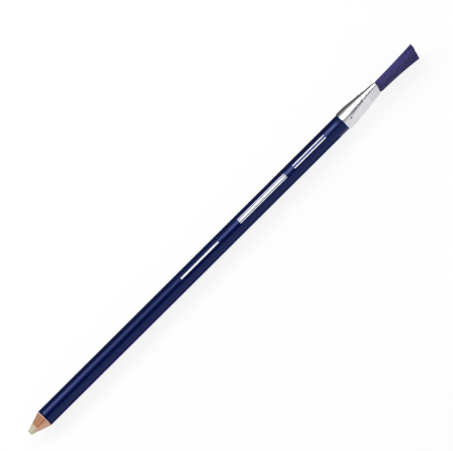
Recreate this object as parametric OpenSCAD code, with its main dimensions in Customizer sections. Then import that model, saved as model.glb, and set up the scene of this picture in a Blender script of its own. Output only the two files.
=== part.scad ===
// Round eraser pencil with a brush. Two wooden slats are glued round an eraser core
// and lacquered. One end is sharpened, and a flattened metal ferrule on the other end
// holds a flat tuft of soft bristles in a root plug.
// The origin is on the axis, in the middle of the lacquered barrel that shows.
// +X runs along the axis towards the brush, and +Z is the wide way of the tuft.

/* [Barrel] */
// Diameter of the barrel over its lacquer
barrel_d = 7.2; // [6.4:0.1:8.4]
// Length of lacquered barrel that shows between the cone and the ferrule
barrel_l = 160; // [60:1:200]
// Diameter of the eraser core
core_d = 4; // [3:0.1:4.8]
// Thickness of the lacquer coat
lacquer_t = 0.1; // [0.06:0.01:0.2]
// Thickness of the bond between the lacquer and the wood
bond_t = 0.01; // [0.005:0.005:0.02]
// Thickness of the glue film at the core and between the slats
glue_t = 0.03; // [0.02:0.01:0.08]

/* [Point] */
// Length of the sharpened cone
cone_l = 8.1; // [6:0.1:14]
// Diameter of the worn flat at the tip of the core
tip_d = 1.9; // [1.2:0.1:2.6]
// Radius of the worn edge round that flat
tip_edge = 0.35; // [0.1:0.05:0.5]

/* [Ferrule] */
// Overall length of the ferrule
ferrule_l = 18.6; // [17:0.1:24]
// Length of the round collar, before the ferrule starts to flatten
collar_l = 4; // [3.9:0.1:5]
// Wall thickness of the ferrule
ferrule_t = 0.3; // [0.2:0.01:0.35]
// How far the end of the barrel reaches into the ferrule
butt_in = 6.8; // [6:0.1:7.5]
// How much the radius of the barrel tapers under the collar, which eases the end in
butt_taper = 0.03; // [0.02:0.01:0.06]
// Clearance between the collar and the lacquer at the collar's edge
collar_gap = 0.02; // [0.01:0.01:0.05]
// Outer width of the flattened mouth
mouth_w = 10.7; // [9:0.1:12]
// Outer thickness of the flattened mouth
mouth_t = 2.3; // [2:0.1:3]
// Length of the slanted band at the mouth
mouth_l = 3.3; // [2:0.1:4]
// How much further out the upper corner of the mouth stands than the lower one
mouth_skew = 0.3; // [0:0.1:1]
// Distance from the mouth to the middle of the pressed bead
bead_in = 7.7; // [6.5:0.1:8]
// Width of the pressed bead
bead_w = 1.6; // [1:0.1:2]
// Height of the pressed bead
bead_h = 0.12; // [0.05:0.01:0.2]

/* [Stakes] */
// Number of stakes punched through the collar into the wood
stakes = 2; // [1:1:4]
// Distance from the rear edge of the collar to the stakes
stake_in = 3.3; // [2:0.1:3.3]
// Turn of the first stake from the wide way of the mouth
stake_turn = 36; // [20:1:70]
// Diameter of the dent that a stake leaves
stake_d = 0.9; // [0.6:0.1:1.2]
// Depth of the dent
stake_h = 0.3; // [0.2:0.05:0.35]

/* [Tuft] */
// Length of bristle that shows beyond the mouth
tuft_l = 20; // [12:0.1:26]
// Width of the tuft at its trimmed end
tuft_w = 13; // [11:0.1:16]
// Thickness of the tuft at its trimmed end
tuft_t = 3.6; // [2.6:0.1:5]
// Distance from the mouth to where the tuft has swollen out
swell_in = 2.4; // [2:0.1:4]
// Width of the tuft there
swell_w = 10.3; // [10:0.1:11]
// Thickness of the tuft there
swell_t = 2.1; // [1.8:0.1:2.2]
// Number of strands across the width of the tuft
strands_wide = 42; // [38:1:50]
// Number of strands across the thickness of the tuft
strands_deep = 8; // [8:1:10]
// Greatest bend of the tuft at the mouth, either way, in degrees
bend = 30; // [15:1:35]
// Clearance round the root of the tuft at its greatest bend
tuft_gap = 0.07; // [0.04:0.01:0.08]
// Space left at each narrow end of the mouth
tuft_side = 0.25; // [0.15:0.05:0.4]
// Thickness of the slice of backing that joins the strands
backing_t = 0.4; // [0.3:0.05:0.5]
// Unevenness of the trimmed end, either way
ragged = 0.35; // [0:0.05:0.6]
// How much further out the upper corner of the trimmed end stands than the lower one
trim_skew = 0.6; // [0:0.1:2]

/* [Root plug] */
// Clearance of the root plug from the ferrule and the end of the barrel
plug_gap = 0.02; // [0.01:0.01:0.05]

/* [Hidden] */
$fn = 64;

// Facets round the ferrule and the root plug
sides = 64;

// Stations along the axis
x_shoulder = -barrel_l / 2;
x_tip = x_shoulder - cone_l;
x_ferrule = barrel_l / 2;
x_butt = x_ferrule + butt_in;
x_mouth = x_ferrule + ferrule_l;
x_loft = x_ferrule + collar_l;
x_stake = x_ferrule + stake_in;
x_band = x_mouth - mouth_l;
x_bead = x_mouth - bead_in;
x_plug = x_butt + plug_gap;

// Radii and slopes
barrel_r = barrel_d / 2;
wood_r = barrel_r - lacquer_t - bond_t;
core_r = core_d / 2;
groove_r = core_r + glue_t;
collar_r = (barrel_r + collar_gap) / cos(180 / sides) + ferrule_t;
cone_slope = (barrel_r - tip_d / 2) / cone_l;
cone_turn = atan(cone_slope);
// Turned end of the barrel, which clears the inside of the flattening ferrule
butt_r = cos(180 / sides) * (collar_r - ferrule_t) * (1 - flattening(x_butt))
    + cos(180 / sides) * (mouth_t / 2 - ferrule_t) * flattening(x_butt) - collar_gap;
turned_r = barrel_r - butt_taper;

// Half of the flat of the mouth, between its rounded ends
mouth_flat = (mouth_w - mouth_t) / 2;

// Ball of wood and lacquer that a stake drives in, with room for the facets of the dent
pocket_r = stake_d;
pocket_ease = 0.1;

// Where the inner edge of the mouth stands to the tuft at the greatest bend
lip = (mouth_t / 2 - ferrule_t) * [sin(bend), cos(bend)];
// Root of the tuft, from which it swells straight out and still clears that edge
root_t2 = (lip[1] - tuft_gap - swell_t / 2 * lip[0] / swell_in) / (1 - lip[0] / swell_in);
root_w2 = mouth_w / 2 - ferrule_t - tuft_side;
// Least distance of the root plug from the mouth, so that the backing swings free of it
swing = norm([backing_t, root_t2]) + tuft_gap;
x_setting = x_mouth - swing;
// Share of its thickness that the tuft loses at its two narrow sides
corner_loss = 0.55;
corner_power = 8;
// Size of each strand where the tuft has swollen out, and at its tip
knee_size = 0.95;
tip_size = 0.9;
// Seed of the uneven trim
trim_seed = 7;

// Place on the axis where the sharpened cone has a radius
function cone_x(r) = x_tip + (r - tip_d / 2) / cone_slope;

// Place on the axis where the turned end of the barrel has a radius
function turned_x(r) = x_loft + (turned_r - r) / (turned_r - butt_r) * (x_butt - x_loft);

// Turns a profile of [radius, place on the axis] about the X axis
module spun(profile) {
    rotate([0, 90, 0])
        rotate_extrude()
            polygon(profile);
}

// Pockets in the wood and lacquer under the dents of the stakes
module stake_pockets() {
    for (i = [0 : stakes - 1])
        rotate([stake_turn + i * 360 / stakes, 0, 0])
            translate([x_stake, 0, barrel_r + collar_gap - stake_h - pocket_ease + pocket_r])
                sphere(r = pocket_r);
}

// Both slats in one, grooved for the core, sharpened at one end and turned at the other
module casing() {
    difference() {
        spun([
            [groove_r, cone_x(groove_r)],
            [wood_r, cone_x(wood_r)],
            [wood_r, x_ferrule],
            [wood_r - butt_taper, turned_x(wood_r - butt_taper)],
            [butt_r, x_butt],
            [groove_r, x_butt]
        ]);
        stake_pockets();
    }
}

// One side of the glue line between the slats, up or down
module slat(side) {
    reach = barrel_l + 2 * (cone_l + ferrule_l);
    intersection() {
        casing();
        translate([0, 0, side * (glue_t / 2 + barrel_r)])
            cube([reach, 2 * barrel_d, barrel_d], center = true);
    }
}

module upper_slat() {
    color("burlywood") slat(1);
}

module lower_slat() {
    color("tan") slat(-1);
}

// Round rubber core, sharpened with the wood and worn at its tip
module eraser_core() {
    edge_x = x_tip + tip_edge;
    edge_r = tip_d / 2 - tip_edge * (1 - sin(cone_turn)) / cos(cone_turn);
    edge_steps = 6;
    color("lightgray")
        spun(concat(
            [[0, x_tip]],
            [for (i = [0 : edge_steps])
                let (a = -90 + (90 - cone_turn) * i / edge_steps)
                [edge_r + tip_edge * cos(a), edge_x + tip_edge * sin(a)]],
            [[core_r, cone_x(core_r)], [core_r, x_butt], [0, x_butt]]
        ));
}

// Lacquer on the barrel, cut back with the wood at both ends
module lacquer_coat() {
    inner_r = barrel_r - lacquer_t;
    color("midnightblue")
        difference() {
            spun([
                [inner_r, cone_x(inner_r)],
                [barrel_r, x_shoulder],
                [barrel_r, x_ferrule],
                [turned_r, x_loft],
                [inner_r - butt_taper, turned_x(inner_r - butt_taper)],
                [inner_r, x_ferrule]
            ]);
            stake_pockets();
        }
}

// Share of the flattening at a place on the axis
function flattening(x) = min(1, max(0, (x - x_loft) / (x_mouth - x_loft)));

// Quarter of the ferrule's outline at a share of its flattening, a turn's share of the way from
// the middle of a flat side to the middle of a round one, inset from its outside
function outline_at(f, turn, inset) =
    let (r = (1 - f) * collar_r + f * mouth_t / 2 - inset,
         flat = f * mouth_flat,
         way = turn / 90 * (flat + r * PI / 2),
         past = (way - flat) / r * 180 / PI)
    way < flat ? [r, way] : [r * cos(past), flat + r * sin(past)];

// Height of the bead at a place on the axis
function bead_at(x) =
    abs(x - x_bead) < bead_w / 2 ? bead_h * pow(cos(180 * (x - x_bead) / bead_w), 2) : 0;

// Distance round the collar from one turn to another
function arc_between(a, b) = abs((a - b + 540) % 360 - 180) * PI / 180 * collar_r;

// Depth of the stakes' dents at a place on the collar
function dent_at(x, turn) =
    max([for (i = [0 : stakes - 1])
        let (arc = arc_between(turn, 90 + stake_turn + i * 360 / stakes),
             far = norm([x - x_stake, arc]) / (stake_d / 2))
        stake_h * max(0, 1 - far * far)]);

// Lean of the mouth's edge over the band
function lean(x) = x > x_band ? mouth_skew / mouth_w * (x - x_band) / mouth_l : 0;

// One point of the ferrule's section at a place on the axis
function section_point(x, turn, inset) =
    let (quarter = asin(min(1, abs(sin(turn)))),
         p = outline_at(flattening(x), quarter, inset - bead_at(x) + dent_at(x, turn)),
         z = sign(sin(turn)) * p[1])
    [x + lean(x) * z, sign(cos(turn)) * p[0], z];

// A ring of such points
function section(x, inset) =
    [for (i = [0 : sides - 1]) section_point(x, i * 360 / sides, inset)];

// Places on the axis where the dents and the bead need rings
stake_rings = [for (i = [-2 : 2]) x_stake + i * stake_d / 4];
bead_rings = [for (i = [-2 : 2]) x_bead + i * bead_w / 4];

// Faces between ring a and ring b, seen from outside when b lies further along +X
function band(a, b) =
    [for (i = [0 : sides - 1])
        let (j = (i + 1) % sides)
        each [
            [a * sides + i, b * sides + i, b * sides + j],
            [a * sides + i, b * sides + j, a * sides + j]
        ]];

// Turns faces inside out
function flipped(faces) = [for (f = faces) [for (i = [len(f) - 1 : -1 : 0]) f[i]]];

// Drawn tube, round over the barrel and flattened at the mouth, staked to the wood
module ferrule() {
    places = concat([x_ferrule], stake_rings, [x_loft, x_plug], bead_rings, [x_band, x_setting, x_mouth]);
    n = len(places);
    outer = [for (x = places) each section(x, 0)];
    inner = [for (x = places) each section(x, ferrule_t)];
    color("silver")
        polyhedron(
            points = concat(outer, inner),
            faces = concat(
                [for (k = [0 : n - 2]) each band(k, k + 1)],
                [for (k = [0 : n - 2]) each flipped(band(n + k, n + k + 1))],
                flipped(band(0, n)),
                band(n - 1, 2 * n - 1)
            )
        );
}

// Hard setting that bonds the roots of the bristles inside the ferrule
module root_plug() {
    places = concat([x_plug], bead_rings, [x_band, x_setting]);
    n = len(places);
    // Both ends start at a point of the rounded side, which none of the flat ones runs through
    end = [for (i = [0 : sides - 1]) (i + sides / 4) % sides];
    color("peru")
        polyhedron(
            points = [for (x = places) each section(x, ferrule_t + plug_gap)],
            faces = concat(
                [for (k = [0 : n - 2]) each band(k, k + 1)],
                [end],
                [[for (i = [sides : -1 : 1]) (n - 1) * sides + end[i % sides]]]
            )
        );
}

// Corner of the grid of strands on the backing, in shares of its width and thickness
function grid_at(i, j) =
    let (u = 2 * i / strands_wide - 1,
         v = 2 * j / strands_deep - 1)
    [root_t2 * v * (1 - corner_loss * pow(abs(u), corner_power)), root_w2 * u];

// Growth of the tuft over its root, where it has a thickness and a width
function growth(t, w) = [t / 2 / root_t2, w / 2 / root_w2];

// The three corners of the strand in one cell of the grid
function strand_root(i, j) = [grid_at(i, j), grid_at(i + 1, j), grid_at(i, j + 1)];

// A ring of that strand at a place out of the mouth, where the tuft has grown
function strand_ring(i, j, out, grown, size) =
    let (root = strand_root(i, j),
         mid = (root[0] + root[1] + root[2]) / 3,
         c = [mid[0] * grown[0], mid[1] * grown[1]])
    [for (p = root)
        [x_mouth + out * (1 + trim_skew * c[1] / tuft_w / tuft_l),
         c[0] + size * (p[0] - mid[0]),
         c[1] + size * (p[1] - mid[1])]];

// Back of the slice as strips across it, in the order of its rim, which starts at point 0.
// The strip at each end is last at a corner that none of its straight sides runs through.
function back_strips(wide, deep) =
    let (far = wide + deep,
         end = 2 * wide + deep)
    concat(
        [for (i = [1 : wide - 2]) [i, i + 1, end - i - 1, end - i]],
        [concat([for (k = [end - 1 : end + deep - 1]) k], [0, 1])],
        [[for (k = [wide - 1 : far + 1]) k]]
    );

// Flat tuft: a slice of backing whose front grows one strand from every cell of a grid
module bristle_tuft() {
    rows = strands_deep + 1;
    uneven = rands(-ragged, ragged, strands_wide * strands_deep, trim_seed);
    rim = concat(
        [for (i = [0 : strands_wide - 1]) [i, 0]],
        [for (j = [0 : strands_deep - 1]) [strands_wide, j]],
        [for (i = [strands_wide : -1 : 1]) [i, strands_deep]],
        [for (j = [strands_deep : -1 : 1]) [0, j]]
    );
    n_rim = len(rim);
    front = [for (i = [0 : strands_wide], j = [0 : strands_deep])
        let (p = grid_at(i, j)) [x_mouth, p[0], p[1]]];
    back = [for (c = rim) let (p = grid_at(c[0], c[1])) [x_mouth - backing_t, p[0], p[1]]];
    cells = [for (i = [0 : strands_wide - 1], j = [0 : strands_deep - 1]) [i, j]];
    strands = [for (k = [0 : len(cells) - 1])
        let (i = cells[k][0], j = cells[k][1])
        each concat(
            strand_ring(i, j, swell_in, growth(swell_t, swell_w), knee_size),
            strand_ring(i, j, tuft_l + uneven[k], growth(tuft_t, tuft_w), tip_size)
        )];
    first_back = len(front);
    first_strand = first_back + n_rim;
    color("darkslateblue")
        polyhedron(
            points = concat(front, back, strands),
            faces = concat(
                [for (strip = flipped(back_strips(strands_wide, strands_deep)))
                    [for (k = strip) first_back + k]],
                [for (k = [0 : n_rim - 1])
                    let (m = (k + 1) % n_rim,
                         a = rim[k][0] * rows + rim[k][1],
                         b = rim[m][0] * rows + rim[m][1])
                    [b, a, first_back + k, first_back + m]],
                [for (k = [0 : len(cells) - 1])
                    let (i = cells[k][0],
                         j = cells[k][1],
                         a = i * rows + j,
                         b = a + rows,
                         c = a + 1,
                         s = first_strand + 6 * k)
                    each [
                        [b, b + 1, c],
                        [s + 1, s, a, b], [s + 2, s + 1, b, c], [s, s + 2, c, a],
                        [s + 4, s + 3, s, s + 1], [s + 5, s + 4, s + 1, s + 2], [s + 3, s + 5, s + 2, s],
                        [s + 3, s + 4, s + 5]
                    ]]
            )
        );
}

upper_slat();
lower_slat();
eraser_core();
lacquer_coat();
ferrule();
root_plug();
bristle_tuft();
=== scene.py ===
"""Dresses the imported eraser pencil: lacquered and sharpened wood, a rubber core, a flattened
metal ferrule and a bristle tuft, on a pale floor in soft studio light."""

import math

import bmesh
import bpy
import numpy as np
from mathutils import Matrix, Vector, noise


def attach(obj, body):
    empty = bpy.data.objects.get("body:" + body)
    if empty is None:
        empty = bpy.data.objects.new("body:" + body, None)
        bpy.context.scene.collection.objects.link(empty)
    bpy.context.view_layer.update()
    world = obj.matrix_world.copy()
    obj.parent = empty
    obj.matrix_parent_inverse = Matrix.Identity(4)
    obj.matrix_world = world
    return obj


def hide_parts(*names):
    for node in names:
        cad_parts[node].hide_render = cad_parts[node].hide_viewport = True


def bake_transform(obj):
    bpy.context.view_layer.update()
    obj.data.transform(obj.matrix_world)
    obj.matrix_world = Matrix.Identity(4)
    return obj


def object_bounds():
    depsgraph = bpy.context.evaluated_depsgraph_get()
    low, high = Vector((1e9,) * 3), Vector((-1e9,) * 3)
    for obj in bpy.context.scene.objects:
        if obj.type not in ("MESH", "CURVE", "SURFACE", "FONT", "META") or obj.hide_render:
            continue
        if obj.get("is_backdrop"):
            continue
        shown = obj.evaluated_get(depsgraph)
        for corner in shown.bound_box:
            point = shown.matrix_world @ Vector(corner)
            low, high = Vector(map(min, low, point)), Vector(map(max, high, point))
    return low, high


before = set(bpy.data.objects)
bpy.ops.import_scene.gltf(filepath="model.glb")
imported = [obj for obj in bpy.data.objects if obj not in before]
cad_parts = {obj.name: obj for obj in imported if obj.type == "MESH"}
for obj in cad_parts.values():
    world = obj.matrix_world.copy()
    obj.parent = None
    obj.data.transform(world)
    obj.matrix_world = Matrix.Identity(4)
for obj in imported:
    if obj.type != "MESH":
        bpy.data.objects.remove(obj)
cad_low, cad_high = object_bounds()

# Sizes are in millimetres, as in the part's source. Meshes are scaled to metres.
MM = 0.001

# Barrel and cone: the radii are those of the lacquer's outside and inside, of the wood's
# outside and groove, and of the core
BARREL_R = 3.6
LACQUER_R = 3.5
WOOD_R = 3.49
GROOVE_R = 2.03
CORE_R = 2.0
GLUE_T = 0.03
X_TIP = -88.1
X_SHOULDER = -80.0
TIP_R = 0.95
TIP_EDGE = 0.35
SLOPE = (BARREL_R - TIP_R) / (X_SHOULDER - X_TIP)
LACQUER_SIDES = 192

# Ferrule
X_FERRULE = 80.0
X_STAKE = 83.3
X_LOFT = 84.0
X_BUTT = 86.8
X_BEAD = 90.9
X_BAND = 95.3
X_MOUTH = 98.6
BUTT_TAPER = 0.03
BUTT_R = 3.06
FERRULE_T = 0.3
FERRULE_SIDES = 384
COLLAR_R = 3.924
MOUTH_W = 10.7
MOUTH_T = 2.3
MOUTH_SKEW = 0.3
BEAD_W = 1.6
BEAD_H = 0.12
STAKE_TURNS = (math.radians(126), math.radians(306))
STAKE_R = 0.45
STAKE_H = 0.3
# How much deeper a stake drives in the wood and the lacquer than the metal over them
STAKE_DRIVE = 1.1
TICK_H = 0.07
PANEL_H = 0.1

# Tuft
TUFT_L = 20.0
TUFT_W = 13.0
TUFT_T = 3.6
TRIM_SKEW = 0.6
SWELL_W = 10.4
SWELL_T = 2.16
STRANDS = 2700
CLUMPS = 90
BRISTLE_SEED = 11

# Direction round the axis that faces the camera, from +Y towards +Z
CAMERA_TURN = math.radians(107)


def cone_x(radius):
    """Place on the axis where the sharpened cone has a radius."""
    return X_TIP + (radius - TIP_R) / SLOPE


def full_turn(sides):
    """Directions round the axis, from +Y towards +Z."""
    return np.linspace(0, 2 * math.pi, sides, endpoint=False)


def turned(x, radius):
    """Radius of a layer of the barrel where its end is turned down inside the ferrule."""
    eased = radius - BUTT_TAPER * min(1.0, max(0.0, (x - X_FERRULE) / (X_LOFT - X_FERRULE)))
    start = BARREL_R - BUTT_TAPER
    return min(eased, start - (start - BUTT_R) * (x - X_LOFT) / (X_BUTT - X_LOFT))


def add_piece(name, points, faces, material, nodes, body="pencil"):
    """A smooth closed mesh from points in millimetres, which stands for CAD nodes."""
    mesh = bpy.data.meshes.new(name)
    mesh.from_pydata((np.asarray(points, float).reshape(-1, 3) * MM).tolist(), [], faces)
    work = bmesh.new()
    work.from_mesh(mesh)
    bmesh.ops.recalc_face_normals(work, faces=work.faces)
    work.to_mesh(mesh)
    work.free()
    mesh.polygons.foreach_set("use_smooth", [True] * len(mesh.polygons))
    mesh.materials.append(material)
    piece = bpy.data.objects.new(name, mesh)
    bpy.context.collection.objects.link(piece)
    if body:
        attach(piece, body)
    if nodes:
        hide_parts(*nodes)
    return piece


def add_values(piece, name, values):
    """A number at each point of a piece, which its material reads."""
    attribute = piece.data.attributes.new(name, "FLOAT", "POINT")
    attribute.data.foreach_set("value", values.astype(np.float32))


def sharpen_edges(piece, degrees):
    """Keeps the shading sharp across edges that turn by more than an angle."""
    limit = math.radians(degrees)
    work = bmesh.new()
    work.from_mesh(piece.data)
    for edge in work.edges:
        if len(edge.link_faces) == 2 and edge.calc_face_angle(0.0) > limit:
            edge.smooth = False
    work.to_mesh(piece.data)
    work.free()


def ring_faces(rows, columns, first=0, closed=False):
    """Faces of a grid of points whose columns go round. The rows close too, or get end caps."""
    faces = []
    for k in range(rows if closed else rows - 1):
        low = first + k * columns
        high = first + (k + 1) % rows * columns
        for i in range(columns):
            j = (i + 1) % columns
            faces.append((low + i, low + j, high + j, high + i))
    if not closed:
        faces.append(tuple(first + i for i in range(columns)))
        faces.append(tuple(first + (rows - 1) * columns + i for i in range(columns)))
    return faces


def arc_gap(a, b):
    """Least angle between two directions."""
    return np.abs((a - b + math.pi) % (2 * math.pi) - math.pi)


def stake_places(count):
    """Places on the axis along the dents of the stakes."""
    return np.linspace(X_STAKE - STAKE_R, X_STAKE + STAKE_R, count)


def stake_dent(x, turn):
    """Depth of the punched stakes at a place on the collar."""
    depth = np.zeros(np.broadcast(x, turn).shape)
    for stake in STAKE_TURNS:
        far = np.hypot(x - X_STAKE, arc_gap(turn, stake) * COLLAR_R) / STAKE_R
        depth = np.maximum(depth, STAKE_H * np.clip(1 - far * far, 0, None))
    return depth


def cut_shift(turn):
    """How far along the axis the sharpener's cut wanders round the shoulder."""
    lean = 0.17 * np.cos(turn - CAMERA_TURN)
    return lean + 0.035 * np.sin(3 * turn + 0.6) + 0.02 * np.sin(8 * turn + 2.0)


def round_points(x, radius, turn):
    """Points at a place, radius and turn about the axis."""
    x, radius, turn = np.broadcast_arrays(x, radius, turn)
    return np.stack([x, radius * np.cos(turn), radius * np.sin(turn)], axis=-1)


# Materials


def linear(red, green, blue):
    """A colour from its 0 to 255 screen values."""
    out = []
    for value in (red, green, blue):
        v = value / 255
        out.append(v / 12.92 if v <= 0.04045 else ((v + 0.055) / 1.055) ** 2.4)
    return (*out, 1.0)


class Nodes:
    """The shader nodes of a material or a world, built up one by one."""

    def __init__(self, owner):
        owner.use_nodes = True
        self.tree = owner.node_tree

    def add(self, kind, inputs=(), **settings):
        node = self.tree.nodes.new(kind)
        for key, value in settings.items():
            setattr(node, key, value)
        for key, value in dict(inputs).items():
            if isinstance(value, bpy.types.NodeSocket):
                self.tree.links.new(value, node.inputs[key])
            else:
                node.inputs[key].default_value = value
        return node

    def math(self, operation, a, b=0.0):
        return self.add("ShaderNodeMath", {0: a, 1: b}, operation=operation).outputs["Value"]

    def seen_directly(self):
        """1 for rays from the camera or a mirror or through glass, and 0 for scattered light."""
        path = self.add("ShaderNodeLightPath").outputs
        first = self.math("MAXIMUM", path["Is Camera Ray"], path["Is Glossy Ray"])
        return self.math("MAXIMUM", first, path["Is Transmission Ray"])


class Finish(Nodes):
    """A procedural material."""

    def __init__(self, name, **sockets):
        self.material = bpy.data.materials.new(name)
        super().__init__(self.material)
        self.shader = self.tree.nodes["Principled BSDF"]
        for key, value in sockets.items():
            self.shader.inputs[key.replace("_", " ")].default_value = value

    def place(self, scale=(1, 1, 1)):
        """The point on the piece at rest, in millimetres, stretched by scale."""
        point = self.add("ShaderNodeTexCoord").outputs["Object"]
        sizes = [s / MM for s in scale]
        return self.add("ShaderNodeMapping", {"Vector": point, "Scale": sizes}).outputs["Vector"]

    def parts(self):
        """The three coordinates of that point."""
        return self.add("ShaderNodeSeparateXYZ", {"Vector": self.place()}).outputs

    def radius(self):
        """Distance from the axis, in millimetres."""
        parts = self.parts()
        squares = [self.math("POWER", parts[way], 2.0) for way in "YZ"]
        return self.math("SQRT", self.math("ADD", *squares))

    def noise(self, vector, scale, detail=4.0, roughness=0.55, distortion=0.0):
        made = self.add("ShaderNodeTexNoise", {
            "Vector": vector, "Scale": scale, "Detail": detail, "Roughness": roughness,
            "Distortion": distortion,
        })
        return made.outputs["Fac"]

    def attribute(self, name):
        return self.add("ShaderNodeAttribute", attribute_name=name).outputs["Fac"]

    def span(self, value, low, high, to_low=0.0, to_high=1.0):
        made = self.add("ShaderNodeMapRange", {
            "Value": value, "From Min": low, "From Max": high, "To Min": to_low, "To Max": to_high,
        })
        return made.outputs["Result"]

    def ramp(self, value, stops):
        made = self.add("ShaderNodeValToRGB", {"Fac": value})
        elements = made.color_ramp.elements
        while len(elements) < len(stops):
            elements.new(0.5)
        for element, (place, colour) in zip(elements, stops):
            element.position = place
            element.color = colour
        return made.outputs["Color"]

    def mix(self, share, a, b):
        """Colour a with a share of colour b, through the node's sockets for colours."""
        return self.add("ShaderNodeMix", {0: share, 6: a, 7: b}, data_type="RGBA").outputs[2]

    def bump(self, height, depth, normal=None):
        """Surface relief, whose depth is in millimetres."""
        inputs = {"Height": height, "Strength": 1.0, "Distance": depth * MM}
        if normal is not None:
            inputs["Normal"] = normal
        return self.add("ShaderNodeBump", inputs).outputs["Normal"]

    def use(self, **sockets):
        for key, socket in sockets.items():
            self.tree.links.new(socket, self.shader.inputs[key.replace("_", " ")])
        return self.material


def make_lacquer():
    finish = Finish("lacquer", Roughness=0.16, IOR=1.6, Specular_Tint=(0.26, 0.34, 0.8, 1.0))
    blotch = finish.noise(finish.place((0.05, 1, 1)), 0.35, 3.0)
    body = finish.ramp(blotch, [(0.3, linear(1, 9, 54)), (0.7, linear(3, 14, 63))])
    over_primer = finish.span(finish.radius(), 3.56, 3.575)
    colour = finish.mix(over_primer, linear(176, 152, 144), body)
    wear = finish.noise(finish.place((0.3, 1, 1)), 2.2, 5.0)
    rough = finish.span(wear, 0.35, 0.75, 0.13, 0.24)
    drag = finish.noise(finish.place((0.02, 1, 1)), 1.1, 2.0)
    peel = finish.noise(finish.place(), 1.4, 2.0)
    normal = finish.bump(peel, 0.006, finish.bump(drag, 0.03))
    return finish.use(Base_Color=colour, Roughness=rough, Normal=normal)


def make_cut_edge():
    finish = Finish("cut_edge", Roughness=0.8, Specular_IOR_Level=0.08)
    edge_noise = finish.noise(finish.place((1, 2, 2)), 2.2, 4.0)
    # Painted shade: a dark line along the cut
    colour = finish.ramp(edge_noise, [(0.35, linear(2, 3, 22)), (0.7, linear(9, 10, 38))])
    return finish.use(Base_Color=colour, Normal=finish.bump(edge_noise, 0.02))


def make_foil():
    finish = Finish("foil", Roughness=0.35)
    wear = finish.noise(finish.place(), 3.0, 5.0, 0.7)
    colour = finish.ramp(wear, [(0.25, linear(176, 178, 200)), (0.45, linear(232, 233, 240))])
    return finish.use(Base_Color=colour, Normal=finish.bump(wear, 0.004))


def make_wood(name, seed):
    finish = Finish(name, Roughness=0.62)
    parts = finish.parts()
    # Angle about the axis from the +Z line towards -Y
    turn = finish.math("ARCTAN2", finish.math("MULTIPLY", parts["Y"], -1.0), parts["Z"])
    along = finish.add("ShaderNodeCombineXYZ", {
        "X": finish.math("MULTIPLY", parts["X"], 0.1),
        "Y": finish.math("MULTIPLY", turn, 2.6),
        "Z": seed,
    }).outputs["Vector"]
    grain = finish.noise(along, 1.7, 3.0, 0.55, 0.3)
    streak = finish.noise(along, 5.5, 4.0, 0.6)
    base = finish.ramp(grain, [
        (0.34, linear(158, 92, 64)), (0.47, linear(176, 116, 80)),
        (0.58, linear(187, 132, 94)), (0.72, linear(196, 148, 112)),
    ])
    dark = finish.span(streak, 0.53, 0.66, 0.0, 0.55)
    colour = finish.mix(dark, base, linear(144, 80, 54))
    # Painted light: a paler strip towards -Y. Painted shade: a greyer side towards +Y. Both have a
    # wavy edge.
    wobble = finish.span(streak, 0.3, 0.7, -0.12, 0.12)
    uneven_turn = finish.math("ADD", turn, wobble)
    painted_light_side = finish.span(uneven_turn, 0.58, 0.82, 0.0, 0.85)
    colour = finish.mix(painted_light_side, colour, linear(226, 180, 154))
    painted_shade_side = finish.span(uneven_turn, -0.1, -0.5, 0.0, 0.7)
    colour = finish.mix(painted_shade_side, colour, linear(156, 122, 96))
    soaked = finish.span(finish.radius(), 3.38, 3.46, 0.0, 0.6)
    colour = finish.mix(soaked, colour, linear(214, 186, 172))
    fibres = finish.noise(finish.place((0.25, 1, 1)), 12.0, 4.0)
    return finish.use(Base_Color=colour, Normal=finish.bump(fibres, 0.03))


def make_rubber():
    finish = Finish("rubber", Roughness=0.8)
    mottle = finish.noise(finish.place(), 1.6, 5.0)
    base = finish.ramp(mottle, [(0.3, linear(194, 183, 158)), (0.6, linear(214, 202, 180))])
    parts = finish.parts()
    dust = finish.span(parts["X"], -86.8, -85.2, 0.0, 0.75)
    dusty = finish.mix(dust, base, linear(210, 178, 152))
    soil = finish.span(parts["X"], -86.6, -88.2, 0.0, 0.75)
    patches = finish.span(finish.noise(finish.place(), 2.4), 0.25, 0.6)
    soiled = finish.mix(finish.math("MULTIPLY", soil, patches), dusty, linear(178, 174, 148))
    # Painted shade: darker towards +Y.
    painted_side_shade = finish.span(parts["Y"], -0.5, 1.4, 0.0, 0.75)
    colour = finish.mix(painted_side_shade, soiled, linear(168, 158, 138))
    grit = finish.noise(finish.place(), 9.0, 5.0, 0.7)
    return finish.use(Base_Color=colour, Normal=finish.bump(grit, 0.05))


def make_metal():
    finish = Finish("drawn_metal", Metallic=1.0, Roughness=0.22)
    cloud = finish.noise(finish.place((0.4, 1, 1)), 0.8, 4.0)
    clean = finish.ramp(cloud, [(0.3, linear(212, 211, 217)), (0.7, linear(226, 225, 229))])
    # Darker purplish patches towards the mouth
    purplish_patches = finish.span(finish.noise(finish.place((0.5, 1, 1)), 1.7, 3.0), 0.42, 0.62, 0.1, 0.7)
    mouth = finish.span(finish.parts()["X"], 92.5, 97.5)
    tinted = finish.mix(finish.math("MULTIPLY", purplish_patches, mouth), clean, linear(190, 178, 190))
    # Painted shade in the stakes and the crimp ticks
    colour = finish.mix(finish.attribute("painted_pit_shade"), tinted, linear(74, 72, 78))
    drawn = finish.noise(finish.place((0.06, 1, 1)), 9.0, 3.0)
    scuff = finish.noise(finish.place(), 1.7, 3.0, 0.6)
    rough = finish.span(scuff, 0.35, 0.7, 0.24, 0.34)
    normal = finish.bump(scuff, 0.03, finish.bump(drawn, 0.008))
    return finish.use(Base_Color=colour, Roughness=rough, Normal=normal)


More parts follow.
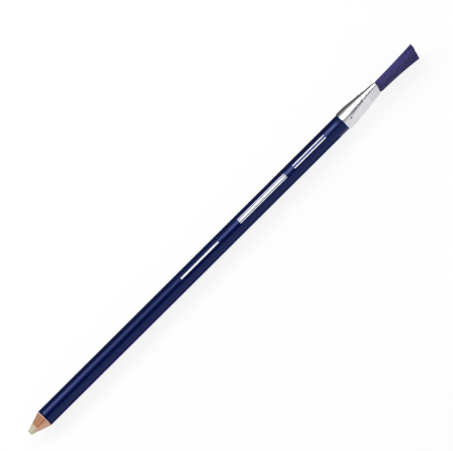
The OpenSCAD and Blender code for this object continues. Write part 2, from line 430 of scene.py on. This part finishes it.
def make_bristle():
    finish = Finish("bristle", Roughness=0.45, IOR=1.4, Specular_Tint=(0.62, 0.58, 1.0, 1.0))
    base = finish.ramp(finish.attribute("tone_and_shading"), [
        (0.0, linear(52, 47, 100)), (0.5, linear(70, 64, 126)), (1.0, linear(88, 82, 148)),
    ])
    shade = finish.span(finish.attribute("along"), 0.0, 0.12, 0.55, 0.0)
    return finish.use(Base_Color=finish.mix(shade, base, linear(28, 25, 58)))


def make_resin():
    finish = Finish("root_resin", Roughness=0.4)
    cloud = finish.noise(finish.place(), 1.2, 4.0)
    colour = finish.ramp(cloud, [(0.3, linear(128, 88, 48)), (0.7, linear(168, 122, 74))])
    return finish.use(Base_Color=colour, Normal=finish.bump(cloud, 0.05))


# Lacquer coat


def lacquer_skin():
    turn = full_turn(LACQUER_SIDES)
    shift = cut_shift(turn)

    # The cut through the coat, then its shoulder: how far on, and how far in from the outside
    cut_radii = (LACQUER_R, 3.52, 3.54, 3.56, 3.58, 3.592)
    rows = [round_points(cone_x(radius) + shift, radius, turn) for radius in cut_radii]
    for on, inset in ((0.01, 0.002), (0.06, 0.0)):
        rows.append(round_points(X_SHOULDER + on + shift, BARREL_R - inset, turn))

    # The outside, with a faint line where the edge of the ferrule sits on it
    for x in np.linspace(X_SHOULDER + 1, X_FERRULE - 0.02, 60):
        rows.append(round_points(x, BARREL_R, turn))
    rows.append(round_points(X_FERRULE, BARREL_R - 0.004, turn))

    # The outside under the collar, and the inside back to the cone
    dents = stake_places(13)
    end = X_LOFT + 0.4
    outside = [(x, BARREL_R) for x in (X_FERRULE + 0.04, 81.5, *dents, X_LOFT, end)]
    inside = [(x, LACQUER_R) for x in (end, *dents[::-1], 0.0, X_SHOULDER + 0.5)]
    for x, radius in outside + inside:
        rows.append(round_points(x, turned(x, radius) - STAKE_DRIVE * stake_dent(x, turn), turn))
    grid = np.array(rows)
    faces = ring_faces(*grid.shape[:2], closed=True)
    add_piece("lacquer_skin", grid, faces, make_lacquer(), ["lacquer_coat"])


def cut_edge():
    """The dull, ragged rim that the sharpener leaves on the lacquer, darkened as a painted shade
    line along the cut.
    """
    turn = full_turn(LACQUER_SIDES)
    shift = cut_shift(turn)
    ragged = 0.05 * np.sin(11 * turn) + 0.035 * np.sin(23 * turn + 1.0)
    # How far each row lies on from the shoulder and out from the lacquer, and if it is ragged
    profile = (
        (0.02, -0.01, 0), (0.0, 0.002, 0), (0.06, 0.008, 0), (0.38, 0.007, 1), (0.5, -0.01, 1),
    )
    grid = np.array([
        round_points(X_SHOULDER + on + shift + share * ragged, BARREL_R + out, turn)
        for on, out, share in profile
    ])
    faces = ring_faces(*grid.shape[:2], closed=True)
    add_piece("cut_edge", grid, faces, make_cut_edge(), [])


# Foil marks on the lacquer: plain stripes


def foil_marks():
    # Start, end, distance round the barrel from the +Z line, and width
    stripes = (
        (-6.0, 14.0, 0.0, 0.75),
        (25.0, 50.0, 0.95, 0.34),
        (25.0, 50.0, 0.0, 1.05),
        (25.0, 50.0, -0.95, 0.34),
        (54.4, 71.2, 0.62, 0.5),
        (54.4, 71.2, -0.62, 0.5),
    )
    facet_w, facet_l = 0.12, 2.5
    proud, sunk = 0.014, 0.01
    points = []
    faces = []
    for start, end, middle, width in stripes:
        steps = max(2, int(width / facet_w))
        arc = (np.linspace(-0.5, 0.5, steps + 1) * width - middle) / BARREL_R + math.pi / 2
        places = np.linspace(start, end, max(2, int((end - start) / facet_l)))
        faces.extend(ring_faces(len(places), 2 * (steps + 1), len(points)))
        for x in places:
            outer = round_points(x, BARREL_R + proud, arc)
            inner = round_points(x, BARREL_R - sunk, arc[::-1])
            points.extend(np.concatenate([outer, inner]).tolist())
    add_piece("foil_marks", points, faces, make_foil(), [])


# Sharpened wooden slats


def slat(name, side, node, seed):
    """One of the two slats, on a side of the glue line: 1 is up, and -1 is down."""
    cutter_pitch, cutter_h = 0.42, 0.006
    chatter_h = 0.012
    stations = np.concatenate([
        np.linspace(cone_x(GROOVE_R) + 0.02, X_SHOULDER + 0.6, 60),
        [-60.0, 0.0, 70.0],
        stake_places(13),
        [X_LOFT, X_LOFT + 0.5, X_BUTT],
    ])

    def half_turn(radius, sweep):
        """Directions from one end of the slat's arc to the other, which leave out the glue."""
        return side * (GLUE_T / 2 / radius + sweep / math.pi * (math.pi - GLUE_T / radius))

    sweep = np.linspace(0.0, math.pi, 97)
    rows = []
    for x in stations:
        nominal = min(WOOD_R, TIP_R + (x - X_TIP) * SLOPE)
        share = min(1.0, max(0.0, (nominal - GROOVE_R) / (WOOD_R - GROOVE_R)))
        turn = half_turn(nominal, sweep)
        cone = TIP_R + (x - share * cut_shift(turn) - X_TIP) * SLOPE
        marks = cutter_h * np.sin(2 * math.pi * x / cutter_pitch + 2 * np.sin(turn))
        chatter = chatter_h * np.sin(9 * turn + 0.4 * x) * share
        outer = np.minimum(turned(x, WOOD_R), np.maximum(cone + marks + chatter, GROOVE_R + 0.004))
        outer = outer - STAKE_DRIVE * stake_dent(x, turn)
        rows.append(np.concatenate([
            round_points(x, outer, turn),
            round_points(x, GROOVE_R, half_turn(GROOVE_R, sweep[::-1])),
        ]))
    grid = np.array(rows)
    faces = ring_faces(*grid.shape[:2])
    piece = add_piece(name, grid, faces, make_wood(name + "_wood", seed), [node])
    sharpen_edges(piece, 50)


# Rubber core with a worn tip


def rubber_core():
    lean = math.atan(SLOPE)
    edge_r = TIP_R - TIP_EDGE * (1 - math.sin(lean)) / math.cos(lean)

    # Place and radius: the slightly domed end, its worn edge, the cone and the hidden length
    dome_steps, dome = 8, 0.0015
    profile = [(X_TIP + dome * k * k, edge_r * k / dome_steps) for k in range(1, dome_steps)]
    for a in np.linspace(-math.pi / 2, -lean, 9):
        profile.append((X_TIP + TIP_EDGE + TIP_EDGE * math.sin(a), edge_r + TIP_EDGE * math.cos(a)))
    start_x, start_r = profile[-1]
    for s in np.linspace(0, 1, 25)[1:]:
        profile.append((start_x + s * (cone_x(CORE_R) - start_x), start_r + s * (CORE_R - start_r)))
    profile += [(x, CORE_R) for x in (-84.0, -40.0, 20.0, X_BUTT)]

    worn_from, worn_over = -84.8, 0.8
    rows = []
    for x, radius in profile:
        worn = max(0.0, min(1.0, (worn_from - x) / worn_over))
        ring = []
        for a in full_turn(128):
            y, z = math.cos(a), math.sin(a)
            coarse = noise.noise(Vector((x * 0.9, radius * y * 1.1, radius * z * 1.1)))
            fine = noise.noise(Vector((x * 3.1, radius * y * 3.3, radius * z * 3.3)))
            out = radius + worn * (0.05 * coarse + 0.022 * fine - 0.01)
            tilt = worn * 0.05 * radius * math.cos(a - 0.6)
            ring.append((x + max(0.0, -tilt), out * y, out * z))
        rows.append(ring)
    grid = np.array(rows)
    faces = ring_faces(*grid.shape[:2])
    piece = add_piece("rubber_core", grid, faces, make_rubber(), ["eraser_core"])
    sharpen_edges(piece, 60)


# Ferrule


def flattening(x):
    """Share of the flattening at a place on the axis, which starts gently."""
    share = (x - X_LOFT) / (X_MOUTH - X_LOFT)
    ease = 0.06
    if share > ease:
        return min(1.0, share)
    return max(0.0, share + ease) ** 2 / (4 * ease)


def bead_at(x):
    """Height of the pressed bead at a place on the axis."""
    if abs(x - X_BEAD) >= BEAD_W / 2:
        return 0.0
    return BEAD_H * math.cos(math.pi * (x - X_BEAD) / BEAD_W) ** 2


def ferrule_point(x, turn, inset):
    """Points of the ferrule's section, round at the collar and flattened at the mouth."""
    quarter = np.arcsin(np.clip(np.abs(np.sin(turn)), 0, 1))
    flat = flattening(x)
    inward = inset - bead_at(x) + stake_dent(x, turn)
    half = flat * (MOUTH_W - MOUTH_T) / 2
    r = (1 - flat) * COLLAR_R + flat * MOUTH_T / 2 - inward
    way = quarter / (math.pi / 2) * (half + r * math.pi / 2)
    past = np.clip((way - half) / r, 0, None)
    y = np.sign(np.cos(turn)) * r * np.cos(past)
    z = np.sign(np.sin(turn)) * np.where(way < half, way, half + r * np.sin(past))
    lean = MOUTH_SKEW / MOUTH_W * (x - X_BAND) / (X_MOUTH - X_BAND) if x > X_BAND else 0
    return np.stack([x + lean * z, y, z], axis=-1)


def crimp_ticks(grid):
    """Presses two rows of crimp marks into both flats, and gives their share of the full depth,
    which sets their painted shade.
    """
    ticks, pitch = 10, 0.69
    half_l, half_w = 0.36, 0.15
    painted_pit_shade = np.zeros(grid.shape[:2])
    for row, start in ((94.0, -3.1), (94.85, -3.45)):
        for k in range(ticks):
            z = start + pitch * k
            x_far = np.clip(np.abs(grid[..., 0] - row) / half_l, 0, 1)
            z_far = np.clip(np.abs(grid[..., 2] - z) / half_w, 0, 1)
            depth = TICK_H * np.cos(x_far * math.pi / 2) ** 2 * np.cos(z_far * math.pi / 2) ** 2
            grid[..., 1] -= np.sign(grid[..., 1]) * depth
            painted_pit_shade = np.maximum(painted_pit_shade, depth / TICK_H)
    return painted_pit_shade


def press_panels(grid):
    """Presses a panel with an arched end into both flats, between the bead and the band."""
    rear, front = 92.0, X_BAND - 0.1
    half_w = 4.2
    arch = 0.1
    x, z = grid[..., 0], grid[..., 2]
    from_rear = np.clip((x - rear - arch * z * z) / 0.5, 0, 1)
    from_front = np.clip((front - x) / 0.3, 0, 1)
    from_sides = np.clip((half_w - np.abs(z)) / 0.4, 0, 1)
    share = from_rear * from_front * from_sides
    grid[..., 1] -= np.sign(grid[..., 1]) * PANEL_H * share * share * (3 - 2 * share)


def ferrule_shell():
    # A hair's turn keeps all points off the quarter turns, where a section's signs are in doubt
    turn = full_turn(FERRULE_SIDES) + 1e-4

    # Places along it, closest over the stakes, the bead, the panel and the ticks
    places = [80.4, 81.2, 82.0, *stake_places(15)]
    for start, end, step in (
        (83.9, 90.0, 0.2), (90.1, 91.75, 0.08), (91.85, 93.5, 0.1), (93.55, 95.3, 0.07),
        (95.4, 98.45, 0.25),
    ):
        places += [*np.arange(start, end, step)]

    # Rounded edges of the sheet: distance from its rim, and inset from its outside
    collar_rim = ((0.0, 0.09), (0.015, 0.04), (0.05, 0.01), (0.1, 0.0))
    mouth_rim = (
        (0.10, 0.0), (0.05, 0.01), (0.015, 0.04), (0.0, 0.09), (0.0, 0.21), (0.015, 0.26),
        (0.05, 0.29),
    )
    outer = [(X_FERRULE + on, inset) for on, inset in collar_rim]
    outer += [(x, 0.0) for x in places]
    outer += [(X_MOUTH - back, inset) for back, inset in mouth_rim]
    inner = [(x, FERRULE_T) for x in [X_MOUTH - 0.1] + places[::-1] + [X_FERRULE + 0.06]]
    inner += [(X_FERRULE + 0.02, 0.28), (X_FERRULE, 0.22)]

    grid = np.array([ferrule_point(x, turn, inset) for x, inset in outer + inner])
    outside = grid[:len(outer)]
    press_panels(outside)
    # Painted shade: how dark each point is, fully in the stakes, and by half in the ticks
    tick_share = 0.5
    stations = np.array([x for x, _ in outer + inner])[:, None]
    painted_pit_shade = (stake_dent(stations, turn) / STAKE_H) ** 0.7
    painted_pit_shade[:len(outer)] = np.maximum(painted_pit_shade[:len(outer)], tick_share * crimp_ticks(outside))
    faces = ring_faces(*grid.shape[:2], closed=True)
    piece = add_piece("ferrule_shell", grid, faces, make_metal(), ["ferrule"])
    add_values(piece, "painted_pit_shade", painted_pit_shade.ravel())


# Bristles


def side_of(spots, half):
    """How far spots lie past the straight part of the mouth's section."""
    return np.clip(np.abs(spots[:, 1]) - half, 0, None)


def strand_spots(random, root):
    """Spots inside the mouth's section for the roots of the strands, off a honeycomb grid."""
    pitch, row_share, jitter = 0.078, 0.87, 0.3
    spots = np.array([
        (k * pitch * row_share, (i + 0.5 * (k % 2)) * pitch)
        for k in range(-14, 15) for i in range(-70, 71)
    ])
    spots = spots + random.uniform(-jitter, jitter, (len(spots), 2)) * pitch
    spots = spots[np.hypot(spots[:, 0], side_of(spots, root[1] - root[0])) < root[0]]
    return spots[random.permutation(len(spots))[:STRANDS]]


def bristles():
    random = np.random.default_rng(BRISTLE_SEED)
    # Half the thickness and width over the middles of the strands: root, swell and trimmed end
    root = np.array([MOUTH_T / 2 - FERRULE_T - 0.045, MOUTH_W / 2 - FERRULE_T - 0.05])
    swollen = np.array([SWELL_T, SWELL_W]) / 2 - 0.04
    end = np.array([TUFT_T, TUFT_W]) / 2 - 0.05
    spots = strand_spots(random, root)
    count = len(spots)
    unit = spots / root
    ends = unit * end

    # Tips close up a little towards the nearest of some clumps, each cut to its own length
    clump_reach, clump_pull = 0.9, 0.22
    clumps = np.stack([random.uniform(-far, far, CLUMPS) for far in (1.5, 6.2)], axis=1)
    nearest = np.argmin(np.linalg.norm(ends[:, None] - clumps[None], axis=2), axis=1)
    pull = clumps[nearest] - ends
    reach = np.linalg.norm(pull, axis=1, keepdims=True)
    pull = pull * np.clip(clump_reach / np.maximum(reach, 1e-6), 0, 1) * clump_pull
    clump_length = random.uniform(-0.2, 0.06, CLUMPS)

    # Every strand wanders and bows a little, and a few stray
    stray_share, short_share = 0.02, 0.03
    stray = (random.random(count) < stray_share)[:, None]
    wander = random.normal(0, 0.05, (count, 2)) + stray * random.normal(0, 0.28, (count, 2))
    bow = random.normal(0, 0.035, (count, 2))

    # The trim is skewed and slightly uneven, and a few strands are short
    twist = 0.32 * unit[:, 0] * unit[:, 1]
    length = TUFT_L - 0.15 + TRIM_SKEW * ends[:, 1] / TUFT_W + twist + clump_length[nearest]
    length = length + random.normal(0, 0.05, count)
    length = length - (random.random(count) < short_share) * random.uniform(0.4, 2.2, count)
    thick = random.uniform(0.056, 0.066, count)

    # Strands on the rounded upper edge get a painted highlight, and the -Y flank past them gets
    # painted shade and is shorter
    bands = np.array([noise.noise(Vector((2.1 * y, 3.4 * z, 5.0))) for y, z in unit])
    corner = np.arctan2(-spots[:, 0], spots[:, 1] - (root[1] - root[0]))
    outside = np.hypot(spots[:, 0], side_of(spots, root[1] - root[0])) > 0.7 * root[0]
    ridge_turn, ridge_w = 1.2, 0.12
    flank_short, flank_shade = 0.2, 0.2
    ridge_highlight = outside * np.exp(-((corner - ridge_turn) / ridge_w) ** 2)
    flank = (corner > ridge_turn) * (spots[:, 0] < 0)
    length = length + 0.12 - flank_short * flank
    tone_and_shading = 0.56 + 0.6 * bands + 0.5 * ridge_highlight - flank_shade * flank + 0.05 * random.normal(size=count)
    tone_and_shading = np.clip(tone_and_shading, 0, 1)

    # Stations along a strand as shares of its length, and its relative thickness at each. The
    # whole tuft leans a little towards -Y.
    shares = np.array([-0.04, 0.0, 0.02, 0.04, 0.07, 0.14, 0.26, 0.4, 0.55, 0.7, 0.85, 0.96, 1.0])
    sizes = np.array([0.8, 0.8, 0.8, 0.8, 0.8, 0.85, 0.9, 0.95, 1.0, 1.0, 1.0, 0.94, 0.65])
    swell_share = 0.06
    lean = np.array([-0.36, 0.0])
    corners = 4
    spin = random.uniform(0, math.pi / 2, count)
    grid = np.zeros((count, len(shares), corners, 3))
    for k, (f, size) in enumerate(zip(shares, sizes)):
        g = max(f, 0.0)
        out = min(1.0, g / swell_share)
        half = root + (swollen - root) * out * out * (3 - 2 * out) + (end - swollen) * g * g
        middle = unit * half + pull * g ** 3 + (wander + lean) * g * g + bow * math.sin(math.pi * g)
        for c in range(corners):
            a = spin + c * 2 * math.pi / corners
            grid[:, k, c, 0] = X_MOUTH + f * length
            grid[:, k, c, 1] = middle[:, 0] + thick * size * np.cos(a)
            grid[:, k, c, 2] = middle[:, 1] + thick * size * np.sin(a)
    grid[..., 2] = np.clip(grid[..., 2], cad_low[2] / MM, cad_high[2] / MM)
    per_strand = len(shares) * corners
    faces = []
    for s in range(count):
        faces.extend(ring_faces(len(shares), corners, s * per_strand))
    material = make_bristle()
    piece = add_piece("bristles", grid, faces, material, ["bristle_tuft"], body=None)
    add_values(piece, "tone_and_shading", np.repeat(tone_and_shading, per_strand))
    add_values(piece, "along", np.tile(np.repeat(np.clip(shares, 0, 1), corners), count))
    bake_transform(piece)


lacquer_skin()
cut_edge()
foil_marks()
slat("upper_slat_wood", 1, "upper_slat", 3.1)
slat("lower_slat_wood", -1, "lower_slat", 8.4)
rubber_core()
ferrule_shell()
bristles()
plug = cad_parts["root_plug"]
plug.data.materials.clear()
plug.data.materials.append(make_resin())


# Floor, cards and light


def cleared(owner):
    """The emptied nodes of a material or a world."""
    nodes = Nodes(owner)
    nodes.tree.nodes.clear()
    return nodes


def placement(right, up, back, centre):
    """Turns an object to three directions and moves it to a place in metres."""
    return Matrix.Translation(centre) @ Matrix((right, up, back)).transposed().to_4x4()


def add_panel(name, centre, across, along, material):
    """A flat rectangle in millimetres, whose two half sides are given as vectors."""
    a, b, m = Vector(across), Vector(along), Vector(centre)
    corners = [m - a - b, m + a - b, m + a + b, m - a + b]
    mesh = bpy.data.meshes.new(name)
    mesh.from_pydata([c * MM for c in corners], [], [(0, 1, 2, 3)])
    mesh.materials.append(material)
    panel = bpy.data.objects.new(name, mesh)
    bpy.context.collection.objects.link(panel)
    panel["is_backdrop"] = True
    return panel


def glow(name, strength, colour):
    """A material that only gives off light."""
    material = bpy.data.materials.new(name)
    nodes = cleared(material)
    emission = nodes.add("ShaderNodeEmission", {"Color": (*colour, 1), "Strength": strength})
    nodes.add("ShaderNodeOutputMaterial", {"Surface": emission.outputs["Emission"]})
    return material


def floor_material():
    """A pale floor that takes shadows, and is nearly white where it is seen directly."""
    material = bpy.data.materials.new("floor")
    nodes = cleared(material)
    share = nodes.math("MULTIPLY", nodes.seen_directly(), 0.85)
    plain = nodes.add("ShaderNodeBsdfDiffuse", {"Color": (0.9, 0.9, 0.9, 1)})
    white = nodes.add("ShaderNodeEmission", {"Strength": 1.0})
    both = nodes.add("ShaderNodeMixShader", {
        "Fac": share, 1: plain.outputs["BSDF"], 2: white.outputs["Emission"],
    })
    nodes.add("ShaderNodeOutputMaterial", {"Surface": both.outputs["Shader"]})
    return material


def add_card(name, centre, across, along, strength, colour=(1, 1, 1)):
    """A card that shows in reflections alone."""
    panel = add_panel(name, centre, across, along, glow(name, strength, colour))
    panel.visible_camera = False
    panel.visible_diffuse = False
    panel.visible_shadow = False
    panel.visible_transmission = False


def add_soft_box(name, x, lean, length, width, radiance):
    """An area light in a row above the pencil, which leans to the back by an angle."""
    far = 0.407
    lamp = bpy.data.lights.new(name, "AREA")
    lamp.shape = "RECTANGLE"
    lamp.size = length * MM
    lamp.size_y = width * MM
    lamp.energy = radiance * math.pi * lamp.size * lamp.size_y
    a = math.radians(lean)
    back = Vector((0, math.sin(a), math.cos(a)))
    side = Vector((1, 0, 0))
    box = bpy.data.objects.new(name, lamp)
    box.matrix_world = placement(side, back.cross(side), back, Vector((x * MM, 0, 0)) + back * far)
    box.visible_camera = False
    bpy.context.collection.objects.link(box)
    return box


def add_world():
    """A white world, whose scattered light is weaker than what is seen of it."""
    world = bpy.data.worlds.new("studio")
    bpy.context.scene.world = world
    nodes = cleared(world)
    level = nodes.add("ShaderNodeMapRange", {
        "Value": nodes.seen_directly(), "To Min": 0.64, "To Max": 1.0,
    })
    sky = nodes.add("ShaderNodeBackground", {
        "Color": (1, 1, 1, 1), "Strength": level.outputs["Result"],
    })
    nodes.add("ShaderNodeOutputWorld", {"Surface": sky.outputs["Background"]})


def studio():
    low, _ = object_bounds()
    floor_z = low[2] / MM
    add_panel("floor", (0, 0, floor_z), (4000, 0, 0), (0, 4000, 0), floor_material())

    # Grey cards and a blue one: centre, two half sides, strength and colour
    on_floor = floor_z + 0.05
    blue = (0.34, 0.35, 1.0)
    add_card("over_barrel", (-250, -162, 520), (345, 0, 0), (0, 202, 0), 0.04)
    add_card("over_ferrule", (210, -125, 520), (95, 0, 0), (0, 92, 0), 0.36)
    add_card("behind_barrel", (-262, 90, 24), (343, 0, 0), (0, 0, 32), 0.1)
    add_card("behind_ferrule", (311, 90, 24), (230, 0, 0), (0, 0, 32), 0.19)
    add_card("floor_behind", (0, 48, on_floor), (600, 0, 0), (0, 42, 0), 0.1)
    add_card("floor_before", (-262, -14, on_floor), (338, 0, 0), (0, 10.5, 0), 0.5, blue)

    # Soft boxes in a row over the pencil: place along it, lean to the back, length, width and
    # radiance
    add_soft_box("tip_light", -195, 36, 270, 200, 3.9)
    add_soft_box("middle_light", -10, 30, 100, 130, 1.9)
    add_soft_box("collar_light", 74, 25, 80, 250, 5.6)
    add_soft_box("ferrule_light", 216, 17, 222, 400, 0.25)
    add_soft_box("tuft_light", 216, 17, 222, 400, 0.75).visible_glossy = False
    add_world()


def camera():
    """The photograph's view: almost from above, with the pencil running to the upper right."""
    to_camera = Vector((0, -0.292, 0.956)).normalized()
    yaw = math.radians(1.68)
    roll = math.radians(44.83)
    far = 2.0
    aim = Vector((20.7, 3.13, 0.96)) * MM
    back = (to_camera * math.cos(yaw) + Vector((-1, 0, 0)) * math.sin(yaw)).normalized()
    along = Vector((1, 0, 0))
    along = (along - back * along.dot(back)).normalized()
    across = back.cross(along)
    right = along * math.cos(roll) - across * math.sin(roll)
    up = along * math.sin(roll) + across * math.cos(roll)
    data = bpy.data.cameras.new("camera")
    data.sensor_width = 36
    data.lens = 417
    data.clip_start = 0.1
    data.clip_end = 20
    seen = bpy.data.objects.new("camera", data)
    bpy.context.collection.objects.link(seen)
    seen.matrix_world = placement(right, up, back, aim + back * far)
    bpy.context.scene.camera = seen


studio()
camera()
bpy.context.scene.view_settings.view_transform = "Standard"
